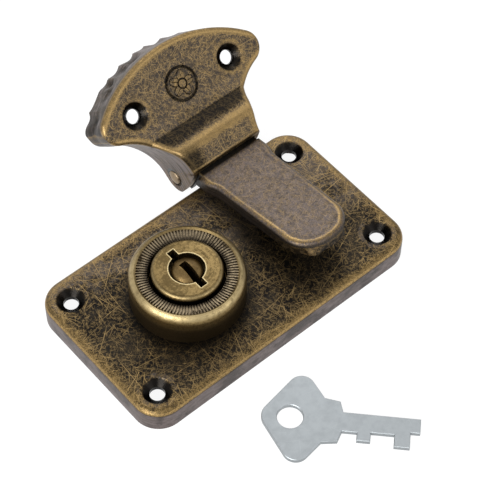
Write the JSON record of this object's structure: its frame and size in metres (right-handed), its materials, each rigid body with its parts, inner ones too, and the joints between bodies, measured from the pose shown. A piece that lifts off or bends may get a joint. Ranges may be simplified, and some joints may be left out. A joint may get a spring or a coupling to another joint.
{
  "type": "box hasp lock",
  "caption": "Antique brass box lock: key cylinder on a drawn plate, hinged hasp with a rounded arm and a hooded leaf, and a flat key.",
  "frame": {"origin": "centre of the plate's four-screw pattern, on the mounting plane under the plate", "axes": "+X along the plate's long side towards the hasp, +Y up the box front towards the lid and hinge, +Z out of the box front"},
  "size_m": [0.0686, 0.0961, 0.0254],
  "materials": {
    "plate_bronze": "antiqued and brushed through",
    "hasp_bronze": "antiqued and brushed through",
    "cylinder_brass": "satin, antiqued in the recesses",
    "lock_steel": "zinc plated",
    "key_nickel": "nickel plated, satin"
  },
  "bodies": {
    "lock_body": {"lock_plate": "plate_bronze", "collar": "cylinder_brass", "barrel": "cylinder_brass", "barrel_clip": "lock_steel", "bolt_guide_rear": "lock_steel", "bolt_guide_front": "lock_steel", "guide_rivets": "lock_steel", "bolt_spring": "lock_steel", "spring_rivet": "lock_steel", "case_cover": "lock_steel", "cover_posts": "lock_steel", "cover_screws": "lock_steel"},
    "plug": {"key_plug": "cylinder_brass", "drive_cam": "lock_steel", "crank_pin": "lock_steel"},
    "bolt": {"locking_bolt": "lock_steel"},
    "arm": {"hasp_arm": "hasp_bronze", "staple": "lock_steel"},
    "leaf": {"hasp_leaf": "hasp_bronze", "hinge_pin": "hasp_bronze"},
    "loose_key": {"key": "key_nickel"}
  },
  "joints": [
    {"name": "arm_swing", "type": "hinge", "parent": "lock_body", "child": "arm", "pos_m": [0.0156, 0.0245, 0.0036], "axis": [-1, 0, 0], "range_deg": [-10, 30]},
    {"name": "leaf_swing", "type": "hinge", "parent": "arm", "child": "leaf", "pos_m": [0.0156, 0.0245, 0.0036], "axis": [1, 0, 0], "range_deg": [-55, 2]},
    {"name": "plug_turn", "type": "hinge", "parent": "lock_body", "child": "plug", "pos_m": [-0.0097, 0, 0], "axis": [0, 0, -1], "range_deg": [0, 180]},
    {"name": "bolt_slide", "type": "slide", "parent": "lock_body", "child": "bolt", "axis": [1, 0, 0], "range_m": [0, 0.005]},
    {"name": "key_lift", "type": "slide", "parent": "lock_body", "child": "loose_key", "axis": [0, 0, 1], "range_m": [0, 0.05]}
  ],
  "couplings": [
    {"joint": "plug_turn", "follows": "bolt_slide", "rad_per_m": 628.32}
  ]
}
